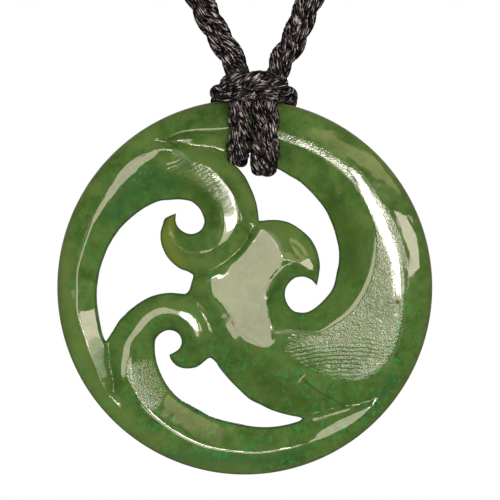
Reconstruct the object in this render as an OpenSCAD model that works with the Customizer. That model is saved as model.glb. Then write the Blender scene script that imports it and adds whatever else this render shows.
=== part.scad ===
// Triple koru pendant on a braided neck cord.
// Millimetres. +Z is up and the carved face looks along -Y.
// The origin is at the nape, where the closing knot rests on the neck.

/* [Pendant] */
// Diameter of the round outline
disc_d = 46.8; // [46.4:0.1:47.2]
// Radius of the rounding along every edge of the carving
edge_r = 0.45; // [0.3:0.05:0.5]
// Thickness factor of the relief, 1 for the crest heights in the tables
relief = 1; // [0.9:0.02:1.02]
// Half thickness of the sunken webs between the arms
web_h = 1.0; // [0.7:0.1:1.2]
// Sections made between two rows of an arm's table
steps = 2; // [1:1:3]

/* [Cord] */
// Diameter of the braided cord round the neck
cord_d = 3.0; // [2.6:0.1:3.1]
// Thickness factor of the cord in the hitch
hitch_scale = 1; // [0.9:0.02:1]

/* [Closing knot] */
// Diameter of the barrel
knot_d = 8; // [6:0.5:10]
// Length of the barrel
knot_len = 12; // [8:1:14]
// Radius of the hole that the cord passes through
knot_bore_r = 1.65; // [1.6:0.05:1.9]

/* [Hidden] */
$fn = 48;

// centre of the pendant's round outline
pend_x = -1.2;
pend_y = -118;
pend_z = -162;

// The arms are charted on squares of 1/374 of the diameter, x to the
// right and y up from the centre of the outline.
sq = disc_d / 374;

// Columns of an arm's table, one row for each section across the arm:
// outer edge x y, inner edge x y (squares), then the places of the outer
// and the inner crest as shares of the way across, then the half
// thickness in mm at the outer edge, at the crests and at the inner edge.
OX = 0; OY = 1; IX = 2; IY = 3; FO = 4; FI = 5; HO = 6; HC = 7; HI = 8;

// left arm, from the lower left up and over to the upper curl
arm_left = [
  [-130,-134, -122,-126, .50, .75, 1.3, 1.6, 1.2],
  [-140,-123, -130,-114, .80, .90, 1.4, 1.9, 1.4],
  [-154,-107, -134, -93, .60, .66, 1.5, 2.2, 1.5],
  [-163, -92, -138, -78, .62, .67, 1.5, 2.3, 1.5],
  [-173, -72, -139, -58, .52, .57, 1.5, 2.4, 1.5],
  [-178, -56, -143, -45, .51, .56, 1.5, 2.4, 1.4],
  [-185, -29, -147, -23, .46, .51, 1.5, 2.4, 1.4],
  [-187,  -4, -148,  -3, .48, .53, 1.5, 2.4, 1.4],
  [-186,  22, -145,  17, .46, .51, 1.5, 2.4, 1.4],
  [-176,  64, -132,  48, .46, .51, 1.5, 2.5, 1.4],
  [-168,  82, -123,  60, .46, .51, 1.5, 2.5, 1.4],
  [-143, 120, -105,  76, .44, .52, 1.5, 2.6, 1.4],
  [-120, 143,  -90,  84, .36, .62, 1.5, 2.7, 1.4],
  [ -84, 147,  -75,  87, .17, .62, 1.7, 2.8, 1.5],
  [ -55, 141,  -63,  87, .20, .66, 1.8, 2.8, 1.5],
  [ -29, 137,  -53,  85, .22, .72, 1.8, 2.8, 1.6],
  [  -9, 121,  -46,  79, .27, .73, 1.7, 2.8, 1.6],
  [   5, 101,  -42,  72, .31, .68, 1.6, 2.8, 1.6],
  [  14,  74,  -41,  65, .37, .65, 1.5, 2.8, 1.5],
  [  12,  55,  -42,  59, .40, .63, 1.5, 2.8, 1.5],
  [   1,  38,  -46,  55, .40, .58, 1.5, 2.7, 1.5],
  [ -17,  24,  -52,  53, .44, .51, 1.5, 2.6, 1.5],
  [ -38,  15,  -57,  54, .46, .52, 1.5, 2.5, 1.5],
  [ -55,  14,  -62,  55, .50, .56, 1.4, 2.3, 1.4],
  [ -68,  21,  -66,  58, .50, .56, 1.4, 2.2, 1.4],
  [ -78,  31,  -68,  62, .52, .58, 1.4, 2.1, 1.4],
  [ -84,  44,  -69,  66, .52, .58, 1.3, 1.9, 1.3],
  [ -84,  55,  -69,  68, .50, .58, 1.3, 1.8, 1.3],
  [ -82,  64,  -69,  70, .48, .58, 1.2, 1.6, 1.2],
  [ -77,  70,  -69,  72, .45, .60, 1.1, 1.3, 1.1],
  [ -72,  73,  -69,  73, .45, .60, 0.9, 1.0, 0.9]
];

// bottom arm, from the lower right along the bottom to the lower curl
arm_bottom = [
  [ 153,-107,  144,-101, .50, .75, 1.3, 1.6, 1.2],
  [ 142,-122,  130,-112, .76, .86, 1.4, 1.9, 1.4],
  [ 123,-141,  105,-120, .50, .56, 1.5, 2.1, 1.5],
  [ 100,-158,   80,-127, .43, .48, 1.5, 2.3, 1.5],
  [  75,-171,   58,-133, .44, .49, 1.5, 2.4, 1.4],
  [  46,-181,   35,-139, .46, .51, 1.5, 2.4, 1.4],
  [  17,-186,   13,-140, .43, .48, 1.5, 2.4, 1.4],
  [ -14,-186,  -10,-136, .42, .47, 1.5, 2.4, 1.4],
  [ -46,-181,  -33,-130, .41, .46, 1.5, 2.4, 1.4],
  [ -74,-172,  -52,-120, .43, .48, 1.5, 2.5, 1.4],
  [-101,-157,  -69,-108, .46, .51, 1.5, 2.6, 1.4],
  [-121,-143,  -80, -94, .47, .52, 1.5, 2.6, 1.4],
  [-129,-115,  -86, -81, .40, .46, 1.6, 2.6, 1.4],
  [-130, -93,  -89, -70, .36, .43, 1.7, 2.6, 1.5],
  [-135, -73,  -90, -59, .36, .51, 1.7, 2.7, 1.5],
  [-138, -55,  -89, -52, .38, .60, 1.7, 2.7, 1.5],
  [-130, -41,  -85, -47, .42, .60, 1.5, 2.7, 1.5],
  [-115, -23,  -80, -44, .42, .58, 1.5, 2.7, 1.5],
  [ -95, -10,  -76, -43, .42, .58, 1.5, 2.7, 1.5],
  [ -73,  -6,  -72, -43, .42, .58, 1.5, 2.7, 1.5],
  [ -51, -11,  -67, -46, .42, .58, 1.5, 2.7, 1.5],
  [ -36, -23,  -64, -50, .42, .58, 1.5, 2.6, 1.5],
  [ -28, -41,  -63, -55, .42, .58, 1.5, 2.5, 1.4],
  [ -27, -58,  -64, -60, .42, .58, 1.5, 2.4, 1.4],
  [ -35, -71,  -67, -63, .44, .58, 1.4, 2.2, 1.4],
  [ -47, -79,  -70, -65, .44, .58, 1.3, 2.0, 1.3],
  [ -59, -81,  -72, -66, .44, .58, 1.3, 1.8, 1.3],
  [ -69, -77,  -74, -67, .42, .60, 1.1, 1.4, 1.1],
  [ -74, -71,  -75, -68, .42, .60, 0.9, 1.0, 0.9]
];

// right arm, from the upper left over the top and down the right side,
// and back across the middle to the hook
arm_right = [
  [-110, 151, -102, 141, .50, .75, 1.3, 1.6, 1.2],
  [ -91, 164,  -82, 147, .80, .90, 1.4, 2.0, 1.4],
  [ -68, 174,  -60, 153, .80, .88, 1.5, 2.3, 1.5],
  [ -39, 183,  -33, 156, .82, .90, 1.5, 2.4, 1.6],
  [ -16, 186,  -12, 144, .62, .67, 1.5, 2.5, 1.4],
  [   4, 187,    3, 136, .54, .59, 1.5, 2.5, 1.4],
  [  26, 185,   18, 129, .55, .60, 1.5, 2.5, 1.4],
  [  54, 179,   35, 117, .53, .58, 1.5, 2.6, 1.4],
  [  87, 166,   55, 105, .51, .56, 1.5, 2.6, 1.4],
  [ 120, 143,   73,  87, .47, .52, 1.5, 2.7, 1.4],
  [ 146, 117,   85,  68, .44, .50, 1.5, 2.8, 1.4],
  [ 167,  85,   92,  47, .42, .51, 1.5, 2.8, 1.4],
  [ 179,  55,   94,  29, .39, .54, 1.5, 2.9, 1.4],
  [ 186,  16,   90,   5, .36, .61, 1.5, 2.9, 1.4],
  [ 183, -39,   81, -11, .31, .68, 1.5, 2.9, 1.4],
  [ 167, -85,   70, -21, .28, .76, 1.5, 2.9, 1.4],
  [ 132,-112,   58, -26, .22, .78, 1.6, 2.9, 1.4],
  [  75,-128,   48, -23, .22, .78, 1.6, 2.9, 1.4],
  [  40,-127,   43, -17, .22, .76, 1.6, 2.9, 1.4],
  [   5,-112,   41, -10, .22, .79, 1.6, 2.9, 1.4],
  [ -23, -84,   41,  -4, .20, .80, 1.6, 2.9, 1.4],
  [ -35, -56,   42,   1, .14, .72, 1.4, 2.9, 1.4],
  [ -54,   2,   45,   5, .20, .76, 1.4, 2.9, 1.4],
  [ -32,  24,   49,   8, .10, .75, 1.5, 2.9, 1.4],
  [  -4,  42,   54,  10, .12, .72, 1.5, 2.8, 1.4],
  [  11,  68,   58,  10, .20, .74, 1.4, 2.6, 1.4],
  [  33,  67,   62,   9, .34, .73, 1.4, 2.5, 1.4],
  [  54,  59,   65,   7, .42, .72, 1.4, 2.4, 1.4],
  [  68,  44,   67,   6, .46, .68, 1.4, 2.2, 1.4],
  [  74,  27,   69,   4, .48, .64, 1.3, 1.9, 1.3],
  [  75,  14,   71,   2, .46, .62, 1.2, 1.5, 1.2],
  [  72,   5,   71,   2, .45, .60, 0.9, 1.0, 0.9]
];

// outlines of the sunken webs, in squares
web_upper = [[-86,149], [-60,160], [-16,162], [-16,128], [-36,132], [-78,140]];
web_lower_left = [[-147,-54], [-132,-52], [-120,-104], [-131,-118], [-142,-102]];
web_lower_right = [[57,-125], [131,-107], [131,-117], [57,-141]];

// value of a smooth curve through b and c, between its neighbours a and d
function smooth4(a, b, c, d, t) =
  0.5 * (2*b + (c - a)*t + (2*a - 5*b + 4*c - d)*t*t + (3*b - a - 3*c + d)*t*t*t);
// a table with n - 1 rows added between each two rows
function refine(tab, n) = [
  for (i = [0 : len(tab) - 2], k = [0 : n - 1])
    smooth4(tab[max(i - 1, 0)], tab[i], tab[i + 1],
            tab[min(i + 2, len(tab) - 1)], k / n),
  tab[len(tab) - 1]
];

// an outer edge that reaches the rim ring ends a little inside it
bury = 183;
function inside_rim(p) = norm(p) > bury ? p * (bury / norm(p)) : p;

// one section: half of the closed outline, front from outer to inner
function half_section(r) =
  let (o = inside_rim([r[OX], r[OY]]) * sq, i = [r[IX], r[IY]] * sq,
       w = norm(i - o), e = min(edge_r, 0.3 * w),
       hc = r[HC] * relief)
  [ for (p = [[0, r[HO] - e], [e, r[HO]], [r[FO] * w, hc],
              [r[FI] * w, hc], [w - e, r[HI]], [w, r[HI] - e]])
      let (q = o + (i - o) * p[0] / w) [q[0], -p[1], q[1]] ];
function section(r) =
  let (f = half_section(r), n = len(f))
  concat([for (k = [n - 1 : -1 : 0]) f[k]],
         [for (k = [0 : n - 1]) [f[k][0], -f[k][1], f[k][2]]]);

// a closed solid through rings of points, with flat ends
module loft(rings) {
  m = len(rings);
  n = len(rings[0]);
  polyhedron(
    points = [for (r = rings) each r],
    faces = concat(
      [for (i = [0 : m - 2], k = [0 : n - 1])
        let (a = i*n + k, b = i*n + (k + 1) % n, c = b + n, d = a + n)
        each [[a, b, c], [a, c, d]]],
      [[for (k = [n - 1 : -1 : 0]) k]],
      [[for (k = [0 : n - 1]) (m - 1)*n + k]]
    )
  );
}

module arm(tab) { loft([for (r = refine(tab, steps)) section(r)]); }

// the plain ring that forms the whole rim: radius and half thickness
rim = [[171 * sq, 1.85], [187 * sq - edge_r, 1.5], [187 * sq, 1.5 - edge_r]];
module rim_ring() {
  rotate([90, 0, 0])
    rotate_extrude($fn = 120)
      polygon(concat([for (p = rim) p], [for (k = [2 : -1 : 0]) [rim[k][0], -rim[k][1]]]));
}

module web(outline) {
  rotate([90, 0, 0])
    linear_extrude(height = 2 * web_h, center = true)
      polygon([for (p = outline) p * sq]);
}

module pendant() {
  color([0.36, 0.47, 0.21])
    translate([pend_x, pend_y, pend_z])
      resize([disc_d, 0, 0])
        union() {
          rim_ring();
          arm(arm_left);
          arm(arm_bottom);
          arm(arm_right);
          web(web_upper);
          web(web_lower_left);
          web(web_lower_right);
        }
}

// The cord's route. Columns: x, depth y and height z of its middle, then
// its half width and half thickness. The hitch is measured from the
// pendant's centre, the neck loop from the origin.
hitch = [
  [-4.2, -0.6, 33.0, 1.50, 1.50],
  [-2.5, -0.8, 30.2, 1.50, 1.45],
  [-1.1, -1.2, 27.6, 1.40, 1.30],
  [-0.6, -2.4, 25.2, 1.30, 1.25],
  [-0.5, -3.6, 23.0, 1.30, 1.25],
  [-0.6, -4.1, 20.8, 1.30, 1.25],
  [-0.6, -3.8, 18.8, 1.25, 1.25],
  [-0.5, -2.8, 17.0, 1.20, 1.15],
  [-0.5, -1.0, 16.1, 1.15, 1.05],
  [-0.5,  1.0, 16.1, 1.15, 1.05],
  [-0.7,  2.8, 17.0, 1.20, 1.15],
  [-1.5,  3.9, 18.8, 1.30, 1.25],
  [-2.6,  4.1, 20.8, 1.35, 1.25],
  [-3.4,  3.5, 22.8, 1.35, 1.25],
  [-3.9,  1.9, 24.4, 1.40, 1.25],
  [-4.0, -0.1, 24.9, 1.40, 1.25],
  [-3.8, -2.3, 24.8, 1.40, 1.20],
  [-3.0, -4.4, 24.8, 1.50, 1.15],
  [-1.2, -5.3, 25.0, 1.60, 1.10],
  [ 1.0, -5.4, 25.0, 1.60, 1.10],
  [ 3.2, -5.4, 25.0, 1.60, 1.10],
  [ 5.0, -4.7, 24.7, 1.50, 1.15],
  [ 6.0, -2.6, 24.4, 1.40, 1.20],
  [ 6.3, -0.2, 24.4, 1.40, 1.25],
  [ 6.1,  1.9, 23.9, 1.40, 1.25],
  [ 5.5,  3.5, 22.3, 1.35, 1.25],
  [ 4.5,  4.1, 20.3, 1.35, 1.25],
  [ 3.4,  4.0, 18.1, 1.35, 1.25],
  [ 2.5,  2.9, 15.8, 1.30, 1.15],
  [ 2.1,  1.1, 14.8, 1.20, 1.00],
  [ 2.1, -1.1, 14.8, 1.20, 1.00],
  [ 2.2, -2.9, 15.7, 1.30, 1.15],
  [ 2.4, -3.9, 17.8, 1.40, 1.25],
  [ 2.4, -4.1, 20.0, 1.45, 1.25],
  [ 2.5, -3.9, 22.2, 1.45, 1.25],
  [ 2.9, -2.8, 24.4, 1.35, 1.25],
  [ 3.6, -1.5, 26.6, 1.40, 1.30],
  [ 4.8, -0.9, 29.0, 1.45, 1.45],
  [ 6.1, -0.7, 31.1, 1.50, 1.50]
];
// right half of the neck loop, from the hitch up to the nape: x y z
neck = [
  [ 8.0, -118.4, -124.0], [16.0, -117.2, -110.0], [25.0, -115.2, -94.0],
  [34.0, -112.2, -78.0], [42.0, -107.6, -63.0], [49.0, -100.6, -49.0],
  [54.5, -91.0, -37.0], [58.5, -80.0, -27.0], [60.5, -68.0, -19.0],
  [60.5, -56.0, -13.0], [58.0, -44.0, -8.5], [53.0, -32.5, -5.0],
  [46.0, -22.0, -2.8], [37.0, -13.0, -1.4], [27.0, -5.5, -0.6],
  [17.0, 0.5, -0.2], [8.0, 4, 0], [0.1, 4, 0]
];
neck_r = cord_d / 2;
hitch_pts = [for (p = hitch) [pend_x + p[0], pend_y + p[1], pend_z + p[2],
                              p[3] * hitch_scale, p[4] * hitch_scale]];
neck_right = [for (p = neck) [p[0], p[1], p[2], neck_r, neck_r]];
neck_left = [for (k = [len(neck) - 1 : -1 : 0])
              [-neck[k][0], neck[k][1], neck[k][2], neck_r, neck_r]];
route = concat(neck_left, hitch_pts, neck_right);

function xyz(p) = [p[0], p[1], p[2]];
function unit(v) = v / norm(v);
function along(pts, i) =
  unit(xyz(pts[min(i + 1, len(pts) - 1)]) - xyz(pts[max(i - 1, 0)]));
// the width's direction, carried from ring to ring without twisting
function carry(side, dir) = unit(side - dir * (side * dir));
function sides(pts, i, s) =
  i == len(pts) ? []
  : let (n = carry(s, along(pts, i))) concat([n], sides(pts, i + 1, n));

module cord() {
  n = 8;
  side = sides(route, 0, [0, 0, 1]);
  rings = [for (i = [0 : len(route) - 1])
    let (c = xyz(route[i]), t = along(route, i), u = side[i], v = cross(t, u))
    [for (k = [0 : n - 1])
      c + u * (route[i][3] * cos(360 * (k + .5) / n))
        + v * (route[i][4] * sin(360 * (k + .5) / n))]];
  color([0.12, 0.11, 0.11]) loft(rings);
}

module slide_knot() {
  color([0.10, 0.09, 0.09])
    translate([0, knot_d / 2, 0])
      rotate([0, 90, 0])
        rotate_extrude()
          polygon([[knot_bore_r, -knot_len/2], [knot_d/2 - 1, -knot_len/2],
                   [knot_d/2, -knot_len/2 + 1], [knot_d/2, knot_len/2 - 1],
                   [knot_d/2 - 1, knot_len/2], [knot_bore_r, knot_len/2]]);
}

pendant();
cord();
slide_knot();
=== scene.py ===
import math
import bpy
import numpy as np
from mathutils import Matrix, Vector
from mathutils.bvhtree import BVHTree
from mathutils.geometry import delaunay_2d_cdt
from mathutils.kdtree import KDTree


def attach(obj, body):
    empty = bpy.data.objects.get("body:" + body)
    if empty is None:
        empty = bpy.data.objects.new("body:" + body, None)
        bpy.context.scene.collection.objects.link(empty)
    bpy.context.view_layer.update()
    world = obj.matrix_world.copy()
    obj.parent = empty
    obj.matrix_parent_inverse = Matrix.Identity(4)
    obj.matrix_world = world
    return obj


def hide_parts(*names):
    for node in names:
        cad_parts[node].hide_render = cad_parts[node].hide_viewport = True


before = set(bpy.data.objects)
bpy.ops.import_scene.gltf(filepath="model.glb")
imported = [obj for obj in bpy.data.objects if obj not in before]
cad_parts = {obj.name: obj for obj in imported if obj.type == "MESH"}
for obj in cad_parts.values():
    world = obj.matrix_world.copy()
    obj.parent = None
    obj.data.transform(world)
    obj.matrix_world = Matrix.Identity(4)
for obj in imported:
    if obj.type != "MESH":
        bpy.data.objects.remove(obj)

for spare in ("Cube", "Light", "Camera"):          # what a new Blender file holds
    if spare in bpy.data.objects:
        bpy.data.objects.remove(bpy.data.objects[spare])
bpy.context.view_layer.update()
MM = 0.001
DISC = 46.8                      # diameter of the round outline, mm
SQ = DISC / 374                  # one chart square, mm
PEND = np.array([-1.2, -118.0, -162.0])   # centre of the outline, mm
rng = np.random.default_rng(7)

# ---------------------------------------------------------------- camera
cam = bpy.data.objects.new("camera", bpy.data.cameras.new("camera"))
bpy.context.scene.collection.objects.link(cam)
cam.data.sensor_width = 36
cam.data.lens = 403.2
cam.data.clip_start = 0.05
cam.data.clip_end = 20
cam.location = (-0.00055, -0.818, -0.157375)
cam.rotation_euler = (math.radians(90), 0, 0)
bpy.context.scene.camera = cam


# ---------------------------------------------------------------- helpers
def smooth_rows(rows, n, closed=False):
    """Rows of a smooth curve through all of these rows, n to each step."""
    r = np.array(rows, float)
    p = np.vstack([r[-1:], r, r[:2]]) if closed else np.vstack([r[:1], r, r[-1:]])
    t = (np.arange(n) / n)[None, :, None]
    a, b, c, d = (p[k:len(p) - 3 + k][:, None, :] for k in range(4))
    q = 0.5 * (2*b + (c - a)*t + (2*a - 5*b + 4*c - d)*t*t + (3*b - a - 3*c + d)*t**3)
    q = q.reshape(-1, r.shape[1])
    return q if closed else np.vstack([q, r[-1:]])


def spaced(pts, gap):
    """The same polyline with points an even distance apart, about gap."""
    d = np.concatenate([[0], np.cumsum(np.linalg.norm(np.diff(pts[:, :2], axis=0), axis=1))])
    n = max(2, int(round(d[-1] / gap)))
    s = np.linspace(0, d[-1], n + 1)
    return np.stack([np.interp(s, d, pts[:, k]) for k in range(pts.shape[1])], 1)


def unit(v):
    return v / np.maximum(np.linalg.norm(v, axis=-1, keepdims=True), 1e-12)


def make_object(name, verts, faces, material, smooth=True):
    """verts in mm, in the row frame."""
    me = bpy.data.meshes.new(name)
    me.from_pydata((np.asarray(verts) * MM).tolist(), [], [tuple(int(i) for i in f) for f in faces])
    me.validate()
    me.polygons.foreach_set("use_smooth", [smooth] * len(me.polygons))
    me.materials.append(material)
    ob = bpy.data.objects.new(name, me)
    bpy.context.scene.collection.objects.link(ob)
    return ob


def attribute(ob, name, values):
    a = ob.data.attributes.new(name, "FLOAT", "POINT")
    a.data.foreach_set("value", np.asarray(values, np.float32))


class Nodes:
    """Short way to write a material's nodes."""
    def __init__(self, name):
        self.mat = bpy.data.materials.new(name)
        self.mat.use_nodes = True
        self.tree = self.mat.node_tree
        self.tree.nodes.clear()

    def add(self, kind, at=None, **inputs):
        n = self.tree.nodes.new(kind)
        for k, v in (at or {}).items():
            setattr(n, k, v)
        for k, v in inputs.items():
            sock = n.inputs[k.replace("_", " ")] if not k.startswith("i") or not k[1:].isdigit() else n.inputs[int(k[1:])]
            self.put(sock, v)
        return n

    def put(self, sock, v):
        if isinstance(v, bpy.types.NodeSocket):
            self.tree.links.new(v, sock)
        elif isinstance(v, bpy.types.Node):
            self.tree.links.new(v.outputs[0], sock)
        else:
            sock.default_value = v

    def math(self, op, a, b=0.0, clamp=False):
        n = self.add("ShaderNodeMath", {"operation": op, "use_clamp": clamp}, i0=a, i1=b)
        return n.outputs[0]

    def ramp(self, fac, stops, mode="LINEAR"):
        n = self.add("ShaderNodeValToRGB", Fac=fac)
        e = n.color_ramp
        e.interpolation = mode
        while len(e.elements) < len(stops):
            e.elements.new(0.5)
        for el, (p, c) in zip(e.elements, stops):
            el.position = p
            el.color = (*c, 1) if len(c) == 3 else c
        return n.outputs[0]

    def mix(self, fac, a, b):
        n = self.tree.nodes.new("ShaderNodeMix")
        n.data_type = "RGBA"
        self.put(n.inputs[0], fac)
        for s, v in ((n.inputs[6], a), (n.inputs[7], b)):
            self.put(s, (*v, 1) if isinstance(v, tuple) and len(v) == 3 else v)
        return n.outputs[2]

    def noise(self, vec, scale, detail=3.0, rough=0.5, distort=0.0, out=0):
        n = self.add("ShaderNodeTexNoise", Vector=vec, Scale=scale, Detail=detail, Roughness=rough, Distortion=distort)
        return n.outputs[out]

    def attr(self, name):
        return self.add("ShaderNodeAttribute", {"attribute_name": name}).outputs["Fac"]


# ---------------------------------------------------------------- the cord
# Middle of the cord in the hitch, from the pendant's centre: x, depth y and
# height z, half width and half thickness, mm, and the way its flat side looks,
# in degrees: 0 is the front, 90 down, 180 the back and 270 up. The CAD's route.
HITCH = [
  (-4.2, -0.6, 33.0, 1.62, 1.50, 0), (-2.5, -0.8, 30.2, 1.62, 1.45, 0), (-1.1, -1.2, 27.6, 1.55, 1.30, 0),
  (-0.7, -2.4, 25.2, 1.40, 1.25, 0), (-0.6, -3.6, 23.0, 1.40, 1.25, 0), (-0.6, -4.1, 20.8, 1.42, 1.25, 0),
  (-0.65,-3.8, 18.8, 1.42, 1.25, 15), (-0.8, -2.8, 17.0, 1.42, 1.15, 50), (-0.9, -1.0, 16.1, 1.30, 1.05, 80),
  (-0.8,  1.0, 16.1, 1.15, 1.05, 100), (-0.8,  2.8, 17.0, 1.20, 1.15, 130), (-1.5,  3.9, 18.8, 1.30, 1.25, 165),
  (-2.3,  4.0, 20.8, 1.35, 1.20, 180), (-2.8,  3.4, 22.6, 1.35, 1.10, 195), (-3.0,  1.8, 24.0, 1.30, 1.00, 230),
  (-3.05,-0.2, 24.3, 1.30, 0.98, 268), (-2.9, -2.3, 24.35, 1.40, 1.02, 305), (-2.2, -4.2, 24.6, 1.60, 1.10, 345),
  (-0.7, -5.2, 24.95, 1.76, 1.10, 360), ( 1.1, -5.4, 25.05, 1.80, 1.10, 360), ( 2.9, -5.3, 25.0, 1.76, 1.10, 360),
  ( 4.4, -4.5, 24.6, 1.60, 1.10, 347), ( 5.1, -2.5, 24.05, 1.40, 1.02, 305), ( 5.3, -0.2, 23.9, 1.30, 0.98, 268),
  ( 5.25, 1.8, 23.5, 1.30, 1.00, 230), ( 5.0,  3.4, 22.0, 1.35, 1.10, 195), ( 4.3,  4.0, 20.2, 1.35, 1.20, 180),
  ( 3.4,  4.0, 18.1, 1.35, 1.25, 168), ( 2.6,  2.9, 15.8, 1.35, 1.15, 130), ( 2.3,  1.1, 14.8, 1.35, 1.00, 100),
  ( 2.4, -1.1, 14.8, 1.60, 1.00, 80), ( 2.5, -2.9, 15.7, 1.75, 1.15, 45), ( 2.5, -3.9, 17.8, 1.78, 1.25, 10),
  ( 2.5, -4.1, 20.0, 1.72, 1.25, 0), ( 2.6, -3.9, 22.2, 1.65, 1.25, 0), ( 3.0, -2.8, 24.4, 1.50, 1.25, 0),
  ( 3.9, -1.5, 26.6, 1.50, 1.30, 0), ( 5.0, -0.9, 29.0, 1.60, 1.45, 0), ( 6.2, -0.7, 31.1, 1.62, 1.50, 0)]
# Right half of the neck loop, from the hitch up to the nape: x y z, mm.
NECK = [
  ( 8.0, -118.4, -124.0), (16.0, -117.2, -110.0), (25.0, -115.2, -94.0), (34.0, -112.2, -78.0),
  (42.0, -107.6, -63.0), (49.0, -100.6, -49.0), (54.5, -91.0, -37.0), (58.5, -80.0, -27.0),
  (60.5, -68.0, -19.0), (60.5, -56.0, -13.0), (58.0, -44.0, -8.5), (53.0, -32.5, -5.0),
  (46.0, -22.0, -2.8), (37.0, -13.0, -1.4), (27.0, -5.5, -.6), (17.0, .5, -.2), (8.0, 4, 0), (.1, 4, 0)]
PLAIT = 10.6                     # length of one full turn of the plait, mm


def cord_route():
    """x y z, half width, half thickness and the outward direction at each row."""
    rows = []
    for x, y, z in reversed(NECK):
        n = unit(np.array([-x*0.6, y + 62.0, 0.0]))
        rows.append((-x, y, z, 1.66, 1.45, *n))
    for x, y, z, w, h, look in HITCH:
        a = math.radians(look)
        rows.append((x + PEND[0], y + PEND[1], z + PEND[2], w*1.04, h, 0.0, -math.cos(a), -math.sin(a)))
    for x, y, z in NECK:
        n = unit(np.array([x*0.6, y + 62.0, 0.0]))
        rows.append((x, y, z, 1.66, 1.45, *n))
    return np.array(rows)


def plaited(route, gap_at, lobes=12, sides=24, phase=0.0, seed=1):
    """Three fat strands plaited along a route. Returns verts, faces, and for
    each vertex the place round its strand (0 to 1) and along it (mm)."""
    r = np.random.default_rng(seed)
    fine = smooth_rows(route, 24)
    d = np.concatenate([[0], np.cumsum(np.linalg.norm(np.diff(fine[:, :3], axis=0), axis=1))])
    s, at = [0.0], 0.0
    while at < d[-1]:
        i = min(np.searchsorted(d, at), len(fine) - 1)
        at += gap_at(fine[i, :3])
        s.append(min(at, d[-1]))
    s = np.array(s)
    f = np.stack([np.interp(s, d, fine[:, k]) for k in range(fine.shape[1])], 1)
    p, w, h, n = f[:, :3], f[:, 3], f[:, 4], f[:, 5:8]
    t = unit(np.gradient(p, s + np.arange(len(s))*1e-9, axis=0))
    u = unit(np.cross(t, n))
    v = np.cross(u, t)
    verts, faces, around, along = [], [], [], []
    for k in range(3):
        wob = np.interp(s, np.linspace(0, s[-1], max(4, int(s[-1]/4))), r.normal(0, 1, max(4, int(s[-1]/4))))
        a = 2*math.pi*(s/PLAIT + k/3) + phase + 0.10*wob
        ru, rv = 0.56*w, 0.55*h
        c = p + u*((w - ru)*1.04*np.sin(a))[:, None] + v*((h - rv)*1.0*np.sin(2*a))[:, None]
        ct = unit(np.gradient(c, s + np.arange(len(s))*1e-9, axis=0))
        cu = unit(u - ct*np.sum(u*ct, 1, keepdims=True))
        cv = np.cross(cu, ct)
        swell = 1 + 0.03*np.interp(s, np.linspace(0, s[-1], max(4, int(s[-1]/3))), r.normal(0, 1, max(4, int(s[-1]/3))))
        base = len(verts) and sum(len(x) for x in verts)
        psi = 2*math.pi*np.arange(sides)/sides
        turn = (s*2*math.pi/9.0)[:, None]
        ang = psi[None, :]
        lobe = 1 - 0.060*(1 - np.cos(ang*lobes))
        ang = ang + turn
        ring = (c[:, None, :] + cu[:, None, :]*((ru*swell)[:, None]*lobe*np.cos(ang))[..., None]
                + cv[:, None, :]*((rv*swell)[:, None]*lobe*np.sin(ang))[..., None])
        m = len(s)
        verts.append(ring.reshape(-1, 3))
        around.append(np.tile(np.arange(sides)/sides, m))
        along.append(np.repeat(s + 37.0*k, sides))
        q = np.arange(m - 1)[:, None]*sides
        j = np.arange(sides)[None, :]
        j2 = (j + 1) % sides
        quads = np.stack([q + j, q + j2, q + sides + j2, q + sides + j], -1).reshape(-1, 4) + base
        faces += quads.tolist()
        faces.append([base + x for x in range(sides - 1, -1, -1)])
        faces.append([base + (m - 1)*sides + x for x in range(sides)])
    return np.vstack(verts), faces, np.concatenate(around), np.concatenate(along)


def cord_material(name, base, glint):
    m = Nodes(name)
    around, along = m.attr("around"), m.attr("along")
    # waxed yarns: twelve to a strand, each of a few fibres, leaning a little round it
    lean = m.math("ADD", m.math("MULTIPLY", around, 12.0), m.math("MULTIPLY", along, 0.10))
    vec = m.add("ShaderNodeCombineXYZ", i0=m.math("MULTIPLY", lean, 2.8), i1=m.math("MULTIPLY", along, 1.25), i2=0.0)
    fibre = m.noise(vec, 1.0, 2.0, 0.6)
    vec2 = m.add("ShaderNodeCombineXYZ", i0=m.math("MULTIPLY", lean, 0.55), i1=m.math("MULTIPLY", along, 0.9), i2=5.0)
    wax = m.noise(vec2, 1.0, 2.0, 0.5)
    # painted highlight: the brightest fibres get the glint colour, the lamps' shine on the waxed yarns painted into the
    # base colour
    tone = m.ramp(fibre, [(0.46, base), (0.55, tuple(7.0*c for c in base)), (0.65, glint)])
    tone = m.mix(m.ramp(wax, [(0.34, (1, 1, 1)), (0.50, (0, 0, 0))]), tone, tuple(0.6*c for c in base))
    rough = m.math("ADD", 0.22, m.math("MULTIPLY", wax, 0.30))
    bump = m.add("ShaderNodeBump", Strength=1.0, Distance=0.00022, Height=fibre)
    b = m.add("ShaderNodeBsdfPrincipled", Base_Color=tone, Roughness=rough, Normal=bump)
    b.inputs["Specular IOR Level"].default_value = 0.25
    b.inputs["Sheen Weight"].default_value = 0.0
    b.inputs["Sheen Roughness"].default_value = 0.4
    m.add("ShaderNodeOutputMaterial", Surface=b)
    return m.mat


def near_front(p):
    """Ring spacing: fine where the cord is seen close up, coarser round the neck."""
    return 0.27 if p[2] < -122 else (0.62 if p[2] < -100 else 0.78)


route = cord_route()
verts, faces, around, along = plaited(route, near_front, seed=11)
braided = cord_material("braided_cord", (0.0028, 0.0022, 0.0028), (0.80, 0.70, 0.70))
cord_ob = make_object("cord", verts, faces, braided)
attribute(cord_ob, "around", around)
attribute(cord_ob, "along", along)
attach(cord_ob, "root")
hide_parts("cord")

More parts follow.
